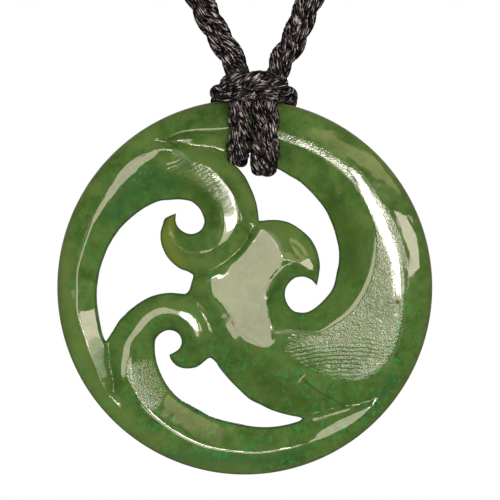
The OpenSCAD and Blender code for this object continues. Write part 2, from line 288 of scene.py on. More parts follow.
# the closing knot: the cord's end wound five times round the standing part
turns = []
for k in range(5*12 + 1):
    a = 2*math.pi*k/12
    x = -4.75 + 9.5*k/(5*12)
    out = np.array([0.0, math.cos(a), math.sin(a)])
    edge = min(1.0, 0.55 + 0.45*min(k, 60 - k)/5)
    turns.append((x, 4 + 2.72*out[1]*edge**0.5, 2.72*out[2]*edge**0.5, 1.05*edge, 1.15*edge, *out))
kv, kf, ka, kl = plaited(np.array(turns), lambda p: 0.42, phase=1.0, seed=23)
knot_mat = cord_material("knot_cord", (0.0019, 0.0015, 0.0019), (0.84, 0.75, 0.75))
knot_ob = make_object("slide_knot", kv, kf, knot_mat)
attribute(knot_ob, "around", ka)
attribute(knot_ob, "along", kl)
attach(knot_ob, "root")
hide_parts("slide_knot")


# ---------------------------------------------------------------- the carved pendant
OX, OY, IX, IY, F1, F2, F3, H0, H1, H2, H3, H4, K1, K2, K3, K4 = range(16)
# One row for each section across an arm. Columns: outer edge x y and inner
# edge x y in squares, three lines of the carving as shares of the way across,
# the half thickness in mm at the five places, and how each of the four zones
# bends: 0 is flat, -1 levels out towards the inner side, 1 towards the outer.
ARM_LEFT = [
  (-130,-134, -122,-126, .50, .60, .75, 1.30, 1.60, 1.60, 1.60, 1.20, -.3, 0, 0, 0),
  (-140,-123, -130,-114, .80, .85, .90, 1.60, 1.90, 1.90, 1.90, 1.50, -.3, 0, 0, 0),
  (-154,-107, -134, -93, .60, .63, .66, 1.75, 2.20, 2.20, 2.20, 1.90, -.3, 0, 0, 0),
  (-163, -92, -138, -78, .62, .645,.67, 1.75, 2.30, 2.30, 2.30, 2.00, -.3, 0, 0, 0),
  (-173, -72, -139, -58, .52, .545,.57, 1.75, 2.40, 2.40, 2.40, 2.00, -.3, 0, 0, 0),
  (-178, -56, -143, -45, .51, .535,.56, 1.75, 2.40, 2.40, 2.40, 1.95, -.3, 0, 0, 0),
  (-185, -29, -147, -23, .46, .485,.51, 1.75, 2.40, 2.40, 2.40, 1.88, -.3, 0, 0, 0),
  (-187,  -4, -148,  -3, .48, .505,.53, 1.75, 2.40, 2.40, 2.40, 1.80, -.3, 0, 0, 0),
  (-186, 22, -145, 17, .46, .485, .51, 1.75, 2.45, 2.45, 2.45, 1.70, 0, 0, 0, 0),
  (-176, 64, -132, 48, .46, .48, .51, 1.75, 2.50, 2.50, 2.50, 1.60, 0, 0, 0, 0),
  (-168, 82, -123, 60, .43, .50, .53, 1.75, 2.55, 2.55, 2.52, 1.50, 0, 0, 0, 0),
  (-143, 120, -105, 76, .31, .42, .50, 1.75, 2.65, 2.65, 2.58, 1.45, 0, 0, 0, -.2),
  (-120, 143, -90, 84, .27, .385, .61, 1.75, 2.72, 2.70, 2.45, 1.45, 0, 0, .3, -.2),
  (-97, 148, -81, 86, .22, .33, .61, 1.80, 2.72, 2.70, 2.43, 1.48, 0, 0, .3, -.2),
  (-82, 144, -74, 87, .158, .348, .58, 1.85, 2.62, 2.72, 2.42, 1.50, 0, 0, .6, -.2),
  (-55, 137, -63, 87, .218, .42, .657, 1.80, 2.66, 2.74, 2.45, 1.55, -.2, -.6, 1, -.2),
  (-29, 133.5, -53, 85, .277, .52, .766, 1.80, 2.67, 2.78, 2.55, 1.60, -.2, -.9, 1, -.2),
  (-9, 121, -46, 79, .36, .60, .78, 1.70, 2.66, 2.79, 2.60, 1.60, -.2, -.9, 1, -.2),
  (5, 101, -42, 72, .37, .60, .72, 1.60, 2.65, 2.79, 2.65, 1.60, -.2, -.9, 1, -.2),
  (14, 74, -41, 65, .39, .61, .70, 1.55, 2.65, 2.79, 2.68, 1.55, -.2, -.9, 1, -.2),
  (12, 55, -42, 59, .42, .61, .69, 1.50, 2.63, 2.75, 2.66, 1.50, -.2, -.9, 1, -.2),
  (   1,  38,  -46,  55, .42, .52, .61, 1.50, 2.62, 2.68, 2.62, 1.50, -.2, -1, 1, 0),
  ( -17,  24,  -52,  53, .43, .49, .54, 1.50, 2.55, 2.58, 2.55, 1.50, -.3, 0, 0, .2),
  ( -38,  15,  -57,  54, .45, .49, .53, 1.50, 2.48, 2.50, 2.48, 1.50, -.4, 0, 0, .2),
  ( -55,  14,  -62,  55, .50, .53, .56, 1.45, 2.35, 2.35, 2.35, 1.40, -.4, 0, 0, .2),
  ( -68,  21,  -66,  58, .50, .53, .56, 1.45, 2.25, 2.25, 2.25, 1.40, -.4, 0, 0, .2),
  ( -78,  31,  -68,  62, .52, .55, .58, 1.40, 2.10, 2.10, 2.10, 1.40, -.4, 0, 0, .2),
  ( -84,  44,  -69,  66, .52, .55, .58, 1.35, 1.95, 1.95, 1.95, 1.30, -.4, 0, 0, .2),
  ( -84,  55,  -69,  68, .50, .54, .58, 1.30, 1.80, 1.80, 1.80, 1.30, -.4, 0, 0, .2),
  ( -82,  64,  -69,  70, .48, .53, .58, 1.20, 1.60, 1.60, 1.60, 1.20, -.4, 0, 0, .2),
  ( -77,  70,  -69,  72, .45, .52, .60, 1.10, 1.30, 1.30, 1.30, 1.10, -.4, 0, 0, .2),
  ( -72,  73,  -69,  73, .45, .52, .60, 0.90, 1.00, 1.00, 1.00, 0.90, -.4, 0, 0, .2)]
ARM_BOTTOM = [
  ( 153,-107,  144,-101, .50, .60, .75, 1.30, 1.60, 1.60, 1.60, 1.20, -.3, 0, 0, 0),
  ( 142,-122,  130,-112, .76, .80, .86, 1.65, 1.95, 1.95, 1.95, 1.70, -.3, 0, 0, 0),
  (123, -141, 105, -120, .50, .53, .56, 1.75, 2.22, 2.22, 2.22, 2.13, -.3, 0, 0, 0),
  (100, -158, 80, -127, .43, .455, .48, 1.75, 2.30, 2.30, 2.30, 2.13, -.3, 0, 0, 0),
  (  75,-171,   58,-133, .44, .465,.49, 1.75, 2.40, 2.40, 2.40, 1.85, -.3, 0, 0, .2),
  (  46,-181,   35,-139, .46, .485,.51, 1.75, 2.40, 2.40, 2.40, 1.55, -.3, 0, 0, 0),
  (  17,-186,   13,-140, .43, .455,.48, 1.75, 2.40, 2.40, 2.40, 1.50, -.3, 0, 0, 0),
  ( -14,-186,  -10,-136, .42, .445,.47, 1.75, 2.42, 2.42, 2.42, 1.50, -.3, 0, 0, 0),
  ( -46,-181,  -33,-130, .41, .435,.46, 1.75, 2.45, 2.45, 2.45, 1.60, -.3, 0, 0, .2),
  ( -74,-172,  -52,-120, .43, .455,.48, 1.75, 2.50, 2.50, 2.50, 1.65, -.3, 0, 0, .2),
  (-101,-157,  -69,-108, .46, .485,.51, 1.75, 2.60, 2.60, 2.60, 1.65, -.3, 0, 0, .2),
  (-121,-143,  -80, -94, .47, .495,.52, 1.75, 2.60, 2.60, 2.60, 1.60, -.3, 0, 0, .3),
  (-129,-115,  -86, -81, .36, .40, .43, 1.60, 2.52, 2.60, 2.60, 1.55, -.5, 0, 0, .3),
  (-130, -93,  -89, -70, .17, .29, .42, 1.70, 2.50, 2.52, 2.50, 1.50, -.3, 0, 0, .3),
  (-135, -73,  -90, -59, .28, .44, .52, 1.60, 2.55, 2.56, 2.48, 1.50, -.3, 0, 0, .3),
  (-138, -55,  -89, -52, .40, .54, .63, 1.60, 2.60, 2.61, 2.50, 1.50, -.3, 0, 0, .3),
  (-130, -41,  -85, -47, .41, .57, .68, 1.55, 2.62, 2.63, 2.50, 1.50, -.4, 0, .5, .3),
  (-115, -23,  -80, -44, .36, .53, .66, 1.50, 2.62, 2.63, 2.50, 1.50, -.4, 0, .8, .3),
  ( -95, -10,  -76, -43, .34, .51, .66, 1.50, 2.60, 2.64, 2.50, 1.50, -.4,-.6, 1, .3),
  ( -73,  -6,  -72, -43, .36, .54, .68, 1.50, 2.58, 2.66, 2.52, 1.50, -.3, -1, 1, .4),
  ( -51, -11,  -67, -46, .38, .56, .70, 1.50, 2.56, 2.66, 2.54, 1.50, -.3, -1, 1, .4),
  ( -36, -23,  -64, -50, .38, .56, .70, 1.50, 2.50, 2.62, 2.50, 1.50, -.3, -1, 1, .4),
  ( -28, -41,  -63, -55, .38, .55, .68, 1.50, 2.40, 2.52, 2.40, 1.45, -.3, -1, 1, .4),
  ( -27, -58,  -64, -60, .38, .53, .66, 1.50, 2.28, 2.38, 2.28, 1.40, -.3, -1, 1, .4),
  ( -35, -71,  -67, -63, .40, .52, .64, 1.40, 2.15, 2.22, 2.15, 1.40, -.3, -1, 1, .4),
  ( -47, -79,  -70, -65, .40, .51, .62, 1.30, 1.95, 2.00, 1.95, 1.30, -.3, -1, 1, .4),
  ( -59, -81,  -72, -66, .42, .51, .60, 1.30, 1.75, 1.80, 1.75, 1.30, -.3, -1, 1, .4),
  ( -69, -77,  -74, -67, .42, .51, .60, 1.10, 1.40, 1.42, 1.40, 1.10, -.3, -1, 1, .4),
  ( -74, -71,  -75, -68, .42, .51, .60, 0.90, 1.00, 1.00, 1.00, 0.90, -.3, -1, 1, .4)]
ARM_RIGHT = [
  (-110, 151, -102, 141, .50, .60, .75, 1.30, 1.60, 1.60, 1.60, 1.20, -.3, 0, 0, 0),
  ( -91, 164,  -82, 144.5, .80, .85, .90, 1.65, 2.00, 2.00, 2.00, 1.40, -.4, 0, 0, 0),
  ( -68, 174,  -60, 151.2, .80, .85, .88, 1.75, 2.25, 2.25, 2.25, 1.50, -.3, 0, 0, 0),
  ( -39, 183,  -33, 152, .82, .86, .90, 1.80, 2.35, 2.35, 2.35, 1.60, -.3, 0, 0, 0),
  (-16, 186, -12, 144, .645, .657, .67, 1.66, 2.42, 2.42, 2.42, 1.40, -.35, 0, 0, 0),
  (4, 187, 3, 136, .57, .58, .59, 1.60, 2.44, 2.44, 2.44, 1.40, -.45, 0, 0, 0),
  (26, 185, 18, 129, .58, .59, .60, 1.58, 2.46, 2.46, 2.46, 1.40, -.50, 0, 0, 0),
  (54, 179, 35, 117, .56, .57, .58, 1.60, 2.49, 2.49, 2.49, 1.40, -.55, 0, 0, 0),
  (87, 166, 55, 105, .53, .54, .55, 1.66, 2.55, 2.55, 2.55, 1.40, -.55, 0, 0, 0),
  (120, 143, 73, 87, .49, .50, .51, 1.74, 2.63, 2.63, 2.63, 1.40, -.60, 0, 0, 0),
  (146, 117, 85, 68, .485, .505, .52, 1.80, 2.70, 2.69, 2.68, 1.40, -.65, 1, 0, 0),
  (167, 85, 92, 47, .455, .52, .54, 1.86, 2.76, 2.75, 2.73, 1.40, -.65, 1, 0, 0),
  (179, 55, 94, 29, .39, .56, .60, 1.92, 2.84, 2.80, 2.77, 1.40, -.75, 1, 0, 0),
  (186, 16, 90, 5, .36, .62, .68, 1.92, 2.92, 2.84, 2.80, 1.40, -.95, 1, 0, 0),
  (183, -39, 81, -11, .33, .70, .755, 1.92, 2.93, 2.80, 2.77, 1.40, -.95, .7, 0, 0),
  (167, -85, 70, -21, .30, .77, .81, 1.90, 2.90, 2.76, 2.74, 1.40, -1, .6, 0, 0),
  ( 132,-112,   58, -26, .28, .78, .80, 1.80, 2.86, 2.76, 2.74, 1.40, -1, .5, 0, 0),
  (  75,-128,   48, -23, .50, .79, .81, 1.60, 2.72, 2.82, 2.78, 1.40, -1, .3, 0, 0),
  (  40,-127,   43, -17, .55, .75, .78, 1.50, 2.62, 2.86, 2.80, 1.40, -1, 0, 0, 0),
  (   5,-112,   41, -10, .56, .65, .68, 1.50, 2.88, 2.88, 2.84, 1.40, -1, 0, 0, 0),
  ( -23, -84,   41,  -4, .42, .70, .73, 1.50, 2.88, 2.89, 2.84, 1.40, -1, 0, 0, 0),
  ( -35, -56,   42,   1, .34, .71, .74, 1.50, 2.88, 2.89, 2.84, 1.40, -1, 0, 0, 0),
  ( -54,   2,   45,   5, .21, .765,.80, 1.50, 2.87, 2.88, 2.83, 1.40, -.7, 0, 0, 0),
  (-29, 17, 49, 8, .09, .70, .755, 1.50, 2.85, 2.87, 2.80, 1.40, -.3, 0, 0, 0),
  (-7, 34, 54, 10, .07, .62, .70, 1.50, 2.86, 2.88, 2.76, 1.40, -.3, 0, 0, 0),
  (9, 60, 58, 10, .12, .48, .76, 1.40, 2.86, 2.88, 2.62, 1.40, -.3, 0, .6, 0),
  (16, 67, 59.5, 9.8, .21, .50, .76, 1.40, 2.69, 2.77, 2.58, 1.40, -.3, 0, .3, 0),
  (33, 67, 62, 9, .40, .60, .75, 1.40, 2.28, 2.48, 2.43, 1.40, -.6, 0, 0, 0),
  (  54,  59,   65,   7, .50, .62, .78, 1.40, 2.25, 2.33, 2.33, 1.40, -.5, 0, 0, 0),
  (  68,  44,   67,   6, .46, .54, .72, 1.40, 2.08, 2.14, 2.12, 1.40, -.5, 0, 0, 0),
  (  74,  27,   69,   4, .46, .54, .64, 1.30, 1.82, 1.86, 1.84, 1.30, -.4, 0, 0, 0),
  (  75,  14,   71,   2, .46, .54, .62, 1.20, 1.50, 1.50, 1.50, 1.20, -.4, 0, 0, 0),
  (  72,   5,   71,   2, .45, .52, .60, 0.90, 1.00, 1.00, 1.00, 0.90, -.4, 0, 0, 0)]
# outlines of the sunken floors between the arms: x y in squares, half thickness
WEBS = [
  [(-86,148,1.30), (-60,155.5,1.55), (-16,157,1.60), (-16,128,1.25), (-36,132,1.25), (-78,140,1.25)],
  [(-147,-54,1.0), (-132,-52,1.25), (-120,-104,1.5), (-131,-118,1.4), (-142,-102,1.2)],
  [(57,-125,1.2), (131,-107,1.7), (131,-117,1.5), (57,-141,1.0)]]
SKIRT = 2.5
# plain ring behind the arms: radius in squares, half thickness in mm
RING = [(166, 1.2), (171, 2.06), (187, 1.71)]


# Outlines of the three openings, as runs of points between sharp corners,
# in squares from the centre of the round outline, x right and y up.
OPEN_LEFT = [
  [(-138.8,-54.5), (-140,-53), (-143,-45), (-145,-35), (-147,-23), (-148,-13), (-148,-3), (-147.5,2), (-145,17),
   (-140,32), (-135,43), (-125,58), (-115,68), (-105,76), (-95,82), (-85,86), (-75,87), (-65,87.5), (-55,86),
   (-50,83), (-45,78), (-42,72), (-40.3,66), (-41.8,60), (-45,56), (-50,53.5), (-55,53), (-60,54.5), (-65,58),
   (-68,62), (-69.3,67), (-68.8,73.5)],
  [(-68.8,73.5), (-75,71), (-80,68), (-82,62), (-84,55), (-84,47), (-82,39), (-78,31), (-73,25), (-65,18.5),
   (-57,15.5), (-51.8,12.5)],
  [(-51.8,12.5), (-51.5,10), (-53,5), (-55,-2), (-58,-6), (-61,-7)],
  [(-61,-7), (-65,-6.5), (-75,-5.8), (-85,-7), (-95,-10), (-105,-15.5), (-115,-23), (-120,-28), (-125,-33),
   (-130,-41), (-135,-49), (-138.8,-54.5)]]
OPEN_BOTTOM = [
  [(-75.3,-67.5), (-74,-72), (-70,-77), (-65,-80), (-58,-81.3), (-50,-80.5), (-45,-78), (-40,-74), (-37,-71.5), (-34.8,-70.5)],
  [(-34.8,-70.5), (-32,-72), (-28,-76), (-25,-81), (-15,-93), (-5,-103), (5,-112), (15,-117), (25,-122),
   (35,-125.5), (45,-128), (53,-129.5), (57.5,-131)],
  [(57.5,-131), (55,-133.8), (45,-137), (35,-139), (25,-140), (15,-140), (5,-139), (-5,-137), (-15,-135), (-25,-132.5),
   (-35,-129), (-45,-123.5), (-55,-118), (-65,-112), (-75,-102), (-82,-91), (-87,-79), (-89.5,-68), (-90,-58),
   (-89,-52), (-85,-47), (-80,-44), (-76,-43), (-70,-44), (-65,-48), (-63,-54), (-64,-59), (-67,-63), (-71.8,-66),
   (-75.3,-67.5)]]
OPEN_RIGHT = [
  [(-16,128), (-14,132), (-11,142), (-7,143.5), (-5,140), (5,134), (18,127.5), (29,120), (35,117), (45,111),
   (55,105), (65,96), (73,87), (80,78), (85,68), (89,58), (92,47), (94,37), (94,25), (92,15), (90,5), (88,-1),
   (85,-6), (80,-12), (75,-17), (70,-21), (65,-24), (60,-25.5), (55,-25.5), (49,-24), (44,-19), (41,-13), (40,-8),
   (41,-1), (45,5), (50,9), (55,10.2), (60,10), (65,8), (68,6), (71.7,1.5)],
  [(71.7,1.5), (72.5,4), (74,12), (75,21), (74,29), (71,39), (65,49), (55,58), (45,64), (35,66.7), (25,67),
   (17,66.2), (14,66.5)],
  [(14,66.5), (13.7,71.5), (12,82), (9,92), (5,101), (1,109), (-5,117), (-10,122), (-16,128)]]

ROUND = 2.6                      # rounding along the openings' edges, squares
ACROSS = 9                       # steps across each zone of an arm
RIM_IN, RIM_OUT, RIM_TOP, RIM_LOW = 178.0, 187.0, 2.05, 1.2


def arm_surface(rows, n=12, across=ACROSS):
    """Vertices (x, y in squares, height in mm) and quads of an arm's carved face."""
    r = smooth_rows(rows, n)
    o, i = r[:, OX:OY + 1], r[:, IX:IY + 1]
    w = np.linalg.norm(i - o, axis=1)
    f, h = [-SKIRT / w], [r[:, H0] - 0.9*SKIRT*SQ]
    place = [np.zeros(len(r)), r[:, F1], r[:, F2], r[:, F3], np.ones(len(r))]
    for z in range(4):
        k = r[:, K1 + z]
        for s in np.linspace(0, 1, across, endpoint=False):
            f.append(place[z] + (place[z + 1] - place[z])*s)
            h.append(r[:, H0 + z] + (r[:, H1 + z] - r[:, H0 + z])*((1 - k)*s + k*s*s))
    f += [place[4], 1 + SKIRT / w]
    h += [r[:, H4], r[:, H4] - 0.9*SKIRT*SQ]
    f, h = np.array(f).T, np.array(h).T
    xy = o[:, None, :] + (i - o)[:, None, :]*f[:, :, None]
    v = np.dstack([xy, h]).reshape(-1, 3)
    m, c = f.shape
    q = [(a*c + b, a*c + b + 1, (a+1)*c + b + 1, (a+1)*c + b) for a in range(m - 1) for b in range(c - 1)]
    return v, q


TREES = [BVHTree.FromPolygons(v.tolist(), q) for v, q in map(arm_surface, (ARM_LEFT, ARM_BOTTOM, ARM_RIGHT))]
TREES += [BVHTree.FromPolygons([tuple(map(float, p)) for p in w], [(0, k, k + 1) for k in range(1, len(w) - 1)])
          for w in WEBS]


def layers(x, y, where=False):
    """Height in mm of the ring and of each carved surface at these places, one row
    each; and with where, the arm's row and zone there (0 to 4 from its outer edge)."""
    r = np.hypot(x, y)
    out = np.zeros((len(TREES) + 1, len(x)))
    hits = np.full((len(TREES) + 1, len(x)), -1)
    xy = list(zip(x.tolist(), y.tolist()))
    down = Vector((0, 0, -1))
    for t, tree in enumerate(TREES):
        cast, row, face = tree.ray_cast, out[t + 1], hits[t + 1]
        for k, (a, b) in enumerate(xy):
            hit = cast((a, b, 50.0), down)
            if hit[0] is not None:
                row[k], face[k] = hit[0][2], hit[2]
    lean = np.clip((x + 72)/50, 0, 1)*np.clip((26 - x)/24, 0, 1)*(y > 120)
    inner = r + 8.0*lean*lean*(3 - 2*lean)*np.clip((178 - r)/12, 0, 1)     # ring widens by the first root
    out[0] = np.interp(inner, [p[0] for p in RING], [p[1] for p in RING], left=0)
    out[0][(out[3] > 1.4) & (x > 0) & (y > -60)] = 0        # carved away there
    if not where:
        return out
    top = np.argmax(out, 0)
    q = hits[top, np.arange(len(x))]
    cols = 4*ACROSS + 2
    arm = np.where((top >= 1) & (top <= 3), top, 0)
    return out, arm, (q // cols)/12.0, np.clip((q % cols - 0.5)/ACROSS, 0, 4)


def rim_cap(r):
    t = np.clip((r - RIM_IN) / (RIM_OUT - RIM_IN), 0, 1)
    return RIM_LOW + (RIM_TOP - RIM_LOW)*np.sqrt(np.maximum(0, 1 - t*t)) + 0.06*(RIM_OUT - r)


def outline(runs, gap):
    """Closed outline through smooth runs that meet in corners."""
    parts = [spaced(smooth_rows(run, 6), gap)[:-1] for run in runs]
    return np.vstack(parts)


def area(p):
    q = np.roll(p, -1, 0)
    return 0.5*np.sum(p[:, 0]*q[:, 1] - q[:, 0]*p[:, 1])


def inside(p, loop):
    """True for the points inside the closed outline."""
    a, b = loop, np.roll(loop, -1, 0)
    out = np.zeros(len(p), bool)
    for lo in range(0, len(p), 20000):
        x, y = p[lo:lo + 20000, 0][:, None], p[lo:lo + 20000, 1][:, None]
        cross = (a[None, :, 1] > y) != (b[None, :, 1] > y)
        at = a[None, :, 0] + (y - a[None, :, 1])*(b - a)[None, :, 0]/np.where(b[:, 1] == a[:, 1], 1e-9, b[:, 1] - a[:, 1])[None, :]
        out[lo:lo + 20000] = (np.sum(cross & (x < at), 1) % 2).astype(bool)
    return out


def tree_of(pts):
    kd = KDTree(len(pts))
    for k, (x, y) in enumerate(pts.tolist()):
        kd.insert((x, y, 0), k)
    kd.balance()
    return kd


def nearest(kd, pts):
    find = kd.find
    return np.array([find((x, y, 0))[2] for x, y in pts.tolist()])


EDGES = [outline(w, 1.35) for w in (OPEN_LEFT, OPEN_BOTTOM, OPEN_RIGHT)]
EDGES = [e if area(e) > 0 else e[::-1] for e in EDGES]
turns = np.linspace(0, 2*math.pi, 792, endpoint=False)
RIM_LINE = np.stack([RIM_OUT*np.cos(turns), RIM_OUT*np.sin(turns)], 1)
edge_kd = tree_of(np.vstack(EDGES))


def in_jade(p, margin=0.0):
    ok = np.hypot(p[:, 0], p[:, 1]) < RIM_OUT - margin
    for e in EDGES:
        ok &= ~inside(p, e)
    return ok


def lumps(x, y, seed, size, count=26):
    """Smooth random heights, about -1 to 1, from waves of about this length."""
    r = np.random.default_rng(seed)
    out = np.zeros_like(x)
    for k in range(count):
        a, f = r.uniform(0, 2*math.pi), r.uniform(0.6, 1.5)
        out += np.sin((x*math.cos(a) + y*math.sin(a))*2*math.pi*f/size + r.uniform(0, 2*math.pi))
    return out / math.sqrt(count)


# Facets and thin ridges that were dressed by hand after the carving. Each row:
# the way the facet mirrors, in degrees right and up of the way to the viewer,
# and its outline on the chart, whose middle is CHART_AT and whose y runs down.
CHART_AT = (244.8, 287.0)
FACETS = [
  # the body's flat top
  (6, -3, [(259,228), (264,228.5), (269,231.5), (276,237.5), (280.5,248), (281.5,257), (276,266.5), (269,276), (266,288),
           (264,300), (265,310), (269,320), (272.5,330), (271.5,341), (263,344.5), (258,342), (256,343.5), (251,339.5),
           (249,341), (244,336), (241,336), (239,331), (236,330), (237,324), (233,321), (234,316), (230,313), (229,308),
           (224,307), (222,302), (217,300), (216,293), (218,286), (222,277), (228,269), (239,258), (247,250), (253,240)]),
  # below it
  (2, -12, [(213,301), (221,306), (230,316), (235,331), (244,340), (262,348), (270,346.5), (274,341), (273,331), (290,330.5),
            (318,331.5), (330,332), (322,336), (306,338), (298,341), (297,347), (304,356), (309,364), (307,373), (297,380), (284,379), (262,366), (246,353), (234,341), (222,323)]),
  # right spiral: by the body, and the hollow tip
  (26, 29, [(285,249), (292,251.5), (300,256), (303,259.5), (299,262.5), (294,261.5), (289,261), (284.5,261), (283,255)]),
  (25, 8, [(299,263.5), (304,261), (309,259), (312,265), (315,269), (312,272), (304.5,268.5), (298.5,265.5)]),
  # left spiral: streak, plain place at its end, and the bright crescent
  (1, -1, [(161,146), (149,152.5), (139,161), (130,168.5), (118,181), (107,194), (98,207), (92,219), (94,221), (102,209),
           (112,197), (121,185.5), (130,177.5), (139,169), (149,162), (155,157)]),
  (2, -16, [(161,147), (170,149.5), (178,150), (184,153), (187,160), (182,168), (170,170), (160,169), (150,172), (140,172),
            (139,169), (149,162), (155,157)]),
  (7, 7, [(213,172), (223,180), (229.3,188.3), (235,198.3), (236.8,208.3), (235,220), (232,231.7), (227.7,240), (219.5,246.5),
          (222.7,235), (229,221.7), (229.3,208.3), (226,198.3), (219.3,186.7), (211,178.3)]),
  # lower spiral: its bright comma
  (7, 7, [(175,312), (180.3,313.6), (185.3,315.2), (190.3,318.6), (195.3,322.7), (198.5,326.7), (199.3,333), (198.3,338.5),
          (196,336), (193.8,331.5), (190.8,326.7), (187.4,322.3), (183.4,318.6), (179,315.6)]),
  # right arm: the long highlight, the bright lens and the plain strip outside it
  (6, 8, [(298,142), (320,151.5), (338,161.5), (352,173), (351,178), (337,166.5), (319,155.5), (298,145.5)]),
  (7, 7, [(355,173), (366,186), (376,200), (384,214), (390,228), (394,242), (398,260), (400,280), (400,300), (396,300),
          (394.5,285), (391.5,264), (386,244), (381,232), (376,222), (370,208), (362,193), (352,178)]),
  (24, 9, [(394.5,209.5), (400,214.5), (409,226), (414,236), (417.5,250), (419,265), (412,255.5), (406,241), (401,227), (396.5,217)]),
  (15.5, 7.5, [(388,211), (393.5,211), (400,227), (405,241), (411,256), (418.5,266), (417,271), (404,268), (402,258), (398,241),
               (394,227)]),
  (34, 15, [(401,213), (409,218), (418,232), (423,246), (425,262), (424,269), (419.5,266), (418.5,250), (415,236), (410,226)]),
  # plain strip between the long highlight and the dull band
  (9, 15.6, [(298,139), (312,139.5), (329,146), (343,154.5), (358,166), (361,178), (352,169), (338,157.5), (320,147.5), (298,141)]),
  (14.8, 14.8, [(358,166), (372,179.5), (382,191), (392,203), (392,208), (386,208), (378,202), (370,190), (361,178)]),
  # left arm's inner side above its bright place
  (25.5, -0.5, [(78,286), (85,282), (92,287), (93,298), (94.8,312.5), (92.5,308.5), (90.5,313), (88.5,308), (86.5,312.5), (84.5,307.5),
               (82.5,311), (80.5,308), (79,298)]),
  # bottom arm by its root: bright lens and the plain strip above it
  (-3, 5, [(316,434), (322,430), (335,423.5), (350,417), (365,409), (372,404), (367,410.5), (356,420), (345,427.5), (331,433)]),
  (-18, 16, [(300,425), (320,419), (340,411.5), (371,402), (365,408), (350,416), (335,422.5), (322,429), (314,433), (300,441),
             (288,443), (290,432)])]
# the same for ridges: mirrors right and up, half width in squares, line on the chart
RIDGES = [
  (7, 7, 0.9, [(163,150), (170,149), (178,148.3)]),
  (7, 7, 1.4, [(297.5,265), (294,263.5), (289,263.3), (283.5,267), (277.5,273), (272,280), (269.3,287), (268,293), (268.5,299)]),
  (7, 7, 1.4, [(205,301), (208.5,310), (212.7,318), (216,328), (217,340), (218,348)]),
  (5, 0, 1.1, [(197,301), (203,307), (207,313), (210,322), (213,332)]),
  (7, 7, 1.4, [(228,267.5), (222,271), (217,277), (213.5,284), (212.5,291), (215,297)]),
  (7, 7, 0.8, [(222.7,226), (219.3,235), (211,245), (199.5,253)]),
  (7, 7, 0.9, [(312,417.5), (325,414), (340,409.7), (355,405), (368,400), (375,396.8)]),
  (4, 0, 0.8, [(170,228), (175,240), (185,251)]),
  (7, 7, 1.1, [(256.5,226), (252.8,238), (246.5,249.5), (238,257.5), (228,265), (214,272), (208,274)])]
AWAY = 700/DISC*374              # from the viewer to the pendant, squares


def on_chart(points):
    return np.array([(x - CHART_AT[0], CHART_AT[1] - y) for x, y in points])


def away_from(p, loop):
    """Distance of each place from a closed outline, less than 0 inside it."""
    d, _ = chain_distance(p, np.vstack([loop, loop[:1]]))
    return np.where(inside(p, loop), -d, d)


def dressed(p):
    """How far each place is on a dressed facet, 0 to 1, and the slopes wanted there."""
    mask, sx, sy = np.zeros(len(p)), np.zeros(len(p)), np.zeros(len(p))
    shapes = [(right, up, np.clip(0.5 - away_from(p, on_chart(o))/1.2, 0, 1)) for right, up, o in FACETS]
    shapes += [(right, up, np.clip(0.5 + (half - chain_distance(p, on_chart(o))[0])/0.9, 0, 1)) for right, up, half, o in RIDGES]
    for right, up, m in shapes:
        # a mirror that looks this way, seen in perspective
        tx = (math.radians(right) - p[:, 0]/AWAY)/2
        ty = (math.radians(up) - p[:, 1]/AWAY)/2
        sx = sx*(1 - m) - np.tan(tx)*m
        sy = sy*(1 - m) - np.tan(ty)*m
        mask = np.maximum(mask, m)
    return mask, sx, sy


def dress():
    """Heights of the carving and what the dressing adds to them, in mm, on an even
    grid, one square apart: the slopes follow the facets and the rest follows them."""
    n = 190
    ax = np.arange(-n, n + 1.0)
    gx, gy = np.meshgrid(ax, ax)
    p = np.stack([gx.ravel(), gy.ravel()], 1)
    stone = in_jade(p)
    base = np.zeros(len(p))
    base[stone] = layers(p[stone, 0], p[stone, 1]).max(0)
    base = base.reshape(gx.shape)
    mask, sx, sy = (v.reshape(gx.shape) for v in dressed(p))
    stone = stone.reshape(gx.shape)
    mask = mask*stone

    def edge(axis, slope):
        lo = [slice(None), slice(None)]
        hi = [slice(None), slice(None)]
        lo[axis], hi[axis] = slice(None, -1), slice(1, None)
        lo, hi = tuple(lo), tuple(hi)
        z = np.minimum(mask[lo], mask[hi])
        w = np.where(stone[lo] & stone[hi], 1 + 9*z, 0.02)
        want = z*((slope[lo] + slope[hi])/2*SQ - (base[hi] - base[lo]))
        return lo, hi, w, want

    sides = [edge(1, sx), edge(0, sy)]
    b = np.zeros_like(base)
    for lo, hi, w, want in sides:
        b[lo] -= w*want
        b[hi] += w*want
    weight = np.full(base.shape, 0.0009)

    def apply(c):
        out = weight*c
        for lo, hi, w, _ in sides:
            d = w*(c[hi] - c[lo])
            out[lo] -= d
            out[hi] += d
        return out

    scale = weight.copy()
    for lo, hi, w, _ in sides:
        scale[lo] += w
        scale[hi] += w
    c = np.zeros_like(base)
    r = b.copy()
    z = r/scale
    q, rz = z.copy(), np.sum(r*z)
    for _ in range(700):
        aq = apply(q)
        step_size = rz/np.sum(q*aq)
        c += step_size*q
        r -= step_size*aq
        z = r/scale
        new = np.sum(r*z)
        if new < 1e-12:
            break
        q, rz = z + new/rz*q, new
    return base, c


def on_grid(grid, p):
    """Value of the grid at each place, between its four nearest points."""
    n = (grid.shape[0] - 1)/2
    u, v = np.clip(p[:, 0] + n, 0, 2*n - 1e-6), np.clip(p[:, 1] + n, 0, 2*n - 1e-6)
    i, j = u.astype(int), v.astype(int)
    a, b = u - i, v - j
    return ((grid[j, i]*(1 - a) + grid[j, i + 1]*a)*(1 - b) + (grid[j + 1, i]*(1 - a) + grid[j + 1, i + 1]*a)*b)


